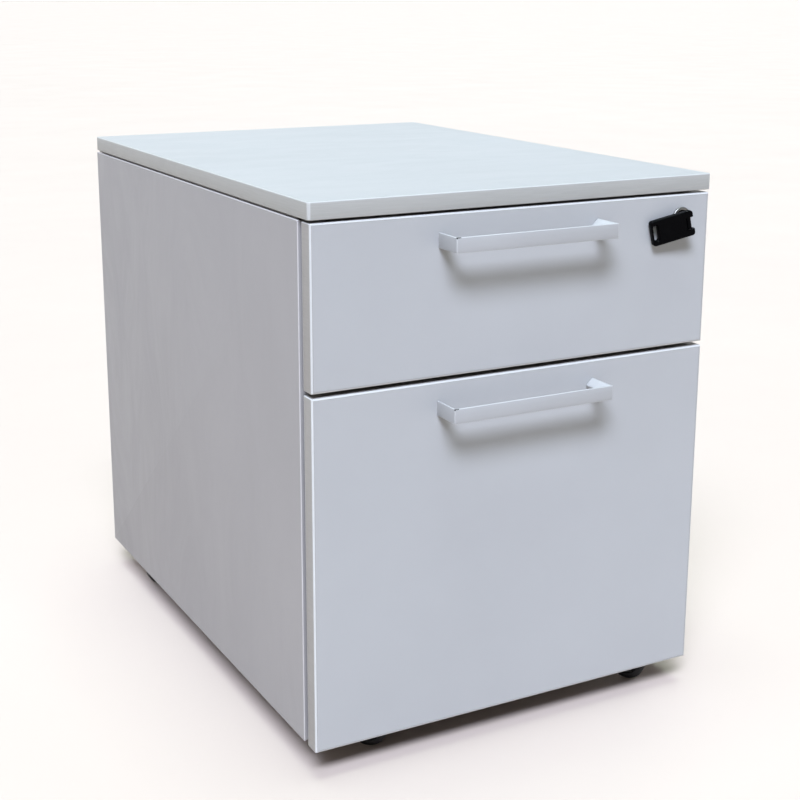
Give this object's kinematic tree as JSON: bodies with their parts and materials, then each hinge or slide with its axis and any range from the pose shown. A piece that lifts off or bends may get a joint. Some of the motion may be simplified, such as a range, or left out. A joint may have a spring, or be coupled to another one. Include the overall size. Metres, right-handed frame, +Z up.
{
  "type": "rolling pedestal cabinet",
  "caption": "Low office pedestal: steel body, board top, shallow upper drawer and deep filing drawer with bow handles, front lock with folding key, swivel casters.",
  "frame": {"origin": "on the floor, under the middle of the overall box, handles included", "axes": "+X the cabinet's right seen from the front, +Y towards its back, +Z up; the drawers open towards -Y"},
  "size_m": [0.43, 0.632, 0.538],
  "materials": {
    "top_board": "melamine-faced board, pale cool grey, fine matt texture, warmer grey edge bands",
    "front_board": "melamine-faced board, blue grey, satin, with matching edge bands",
    "carcass_paint": "powder coat, light grey, satin, fine orange peel",
    "drawer_paint": "powder coat, light grey, satin",
    "handle_paint": "white paint, semi-gloss, chipped at a corner",
    "zinc": "zinc-plated steel",
    "chrome": "nickel plate, satin",
    "key_plastic": "black glossy moulded plastic",
    "wheel_plastic": "black nylon, dull, scuffed tread",
    "caster_paint": "black paint on pressed steel"
  },
  "bodies": {
    "carcass": {"top_panel": "top_board", "left_side_panel": "carcass_paint", "right_side_panel": "carcass_paint", "back_panel": "carcass_paint", "base_pan": "carcass_paint", "front_top_rail": "carcass_paint", "rear_top_rail": "carcass_paint", "upper_left_slide_outer": "zinc", "upper_right_slide_outer": "zinc", "lower_left_slide_outer": "zinc", "lower_right_slide_outer": "zinc", "caster_front_left_plate": "caster_paint", "caster_front_right_plate": "caster_paint", "caster_rear_left_plate": "caster_paint", "caster_rear_right_plate": "caster_paint", "upper_bar_guide": "zinc", "lower_bar_guide": "zinc"},
    "upper_drawer": {"upper_drawer_front": "front_board", "upper_drawer_inner_front": "drawer_paint", "upper_drawer_shell": "drawer_paint", "upper_drawer_back": "drawer_paint", "upper_handle": "handle_paint", "upper_drawer_catch": "zinc", "upper_left_slide_inner": "zinc", "upper_right_slide_inner": "zinc", "lock_housing": "chrome", "lock_nut": "zinc"},
    "lower_drawer": {"lower_drawer_front": "front_board", "lower_drawer_inner_front": "drawer_paint", "lower_drawer_shell": "drawer_paint", "lower_drawer_back": "drawer_paint", "left_file_rail": "zinc", "right_file_rail": "zinc", "lower_handle": "handle_paint", "lower_drawer_catch": "zinc", "lower_left_slide_inner": "zinc", "lower_right_slide_inner": "zinc"},
    "upper_slide_middles": {"upper_left_slide_middle": "zinc", "upper_right_slide_middle": "zinc"},
    "lower_slide_middles": {"lower_left_slide_middle": "zinc", "lower_right_slide_middle": "zinc"},
    "lock_core": {"lock_plug": "chrome", "lock_cam": "zinc", "key_blade": "zinc"},
    "key_head": {"key_head": "key_plastic", "key_pin": "zinc"},
    "lock_bar": {"lock_bar": "zinc"},
    "caster_front_left_swivel": {"caster_front_left_fork": "caster_paint", "caster_front_left_axle": "zinc"},
    "caster_front_left_wheel": {"caster_front_left_wheel": "wheel_plastic"},
    "caster_front_right_swivel": {"caster_front_right_fork": "caster_paint", "caster_front_right_axle": "zinc"},
    "caster_front_right_wheel": {"caster_front_right_wheel": "wheel_plastic"},
    "caster_rear_left_swivel": {"caster_rear_left_fork": "caster_paint", "caster_rear_left_axle": "zinc"},
    "caster_rear_left_wheel": {"caster_rear_left_wheel": "wheel_plastic"},
    "caster_rear_right_swivel": {"caster_rear_right_fork": "caster_paint", "caster_rear_right_axle": "zinc"},
    "caster_rear_right_wheel": {"caster_rear_right_wheel": "wheel_plastic"}
  },
  "joints": [
    {"name": "upper_drawer_slide", "type": "slide", "parent": "carcass", "child": "upper_drawer", "axis": [0, -1, 0], "range_m": [0, 0.49]},
    {"name": "lower_drawer_slide", "type": "slide", "parent": "carcass", "child": "lower_drawer", "axis": [0, -1, 0], "range_m": [0, 0.49]},
    {"name": "upper_middles_slide", "type": "slide", "parent": "carcass", "child": "upper_slide_middles", "axis": [0, -1, 0], "range_m": [0, 0.245]},
    {"name": "lower_middles_slide", "type": "slide", "parent": "carcass", "child": "lower_slide_middles", "axis": [0, -1, 0], "range_m": [0, 0.245]},
    {"name": "lock_turn", "type": "hinge", "parent": "upper_drawer", "child": "lock_core", "pos_m": [0.1802, -0.27, 0.4962], "axis": [0, -1, 0], "range_deg": [0, 90]},
    {"name": "lock_bar_lift", "type": "slide", "parent": "carcass", "child": "lock_bar", "axis": [0, 0, 1], "range_m": [0, 0.01555]},
    {"name": "key_fold", "type": "hinge", "parent": "lock_core", "child": "key_head", "pos_m": [0.1802, -0.2957, 0.4932], "axis": [-0.2317, 0, 0.9728], "range_deg": [0, 100]},
    {"name": "caster_front_left_swivel", "type": "hinge", "parent": "carcass", "child": "caster_front_left_swivel", "pos_m": [-0.155, -0.23, 0.04], "axis": [0, 0, 1], "continuous": true},
    {"name": "caster_front_left_roll", "type": "hinge", "parent": "caster_front_left_swivel", "child": "caster_front_left_wheel", "pos_m": [-0.1372, -0.24293, 0.0175], "axis": [0.5878, 0.809, 0], "continuous": true},
    {"name": "caster_front_right_swivel", "type": "hinge", "parent": "carcass", "child": "caster_front_right_swivel", "pos_m": [0.155, -0.23, 0.04], "axis": [0, 0, 1], "continuous": true},
    {"name": "caster_front_right_roll", "type": "hinge", "parent": "caster_front_right_swivel", "child": "caster_front_right_wheel", "pos_m": [0.16914, -0.24685, 0.0175], "axis": [0.766, 0.6428, 0], "continuous": true},
    {"name": "caster_rear_left_swivel", "type": "hinge", "parent": "carcass", "child": "caster_rear_left_swivel", "pos_m": [-0.164, 0.226, 0.04], "axis": [0, 0, 1], "continuous": true},
    {"name": "caster_rear_left_roll", "type": "hinge", "parent": "caster_rear_left_swivel", "child": "caster_rear_left_wheel", "pos_m": [-0.186, 0.226, 0.0175], "axis": [0, -1, 0], "continuous": true},
    {"name": "caster_rear_right_swivel", "type": "hinge", "parent": "carcass", "child": "caster_rear_right_swivel", "pos_m": [0.164, 0.226, 0.04], "axis": [0, 0, 1], "continuous": true},
    {"name": "caster_rear_right_roll", "type": "hinge", "parent": "caster_rear_right_swivel", "child": "caster_rear_right_wheel", "pos_m": [0.14598, 0.23862, 0.0175], "axis": [-0.5736, -0.8192, 0], "continuous": true}
  ],
  "couplings": [
    {"joint": "upper_middles_slide", "follows": "upper_drawer_slide", "ratio": 0.5},
    {"joint": "lower_middles_slide", "follows": "lower_drawer_slide", "ratio": 0.5},
    {"joint": "lock_turn", "follows": "lock_bar_lift", "rad_per_m": 101.01}
  ]
}
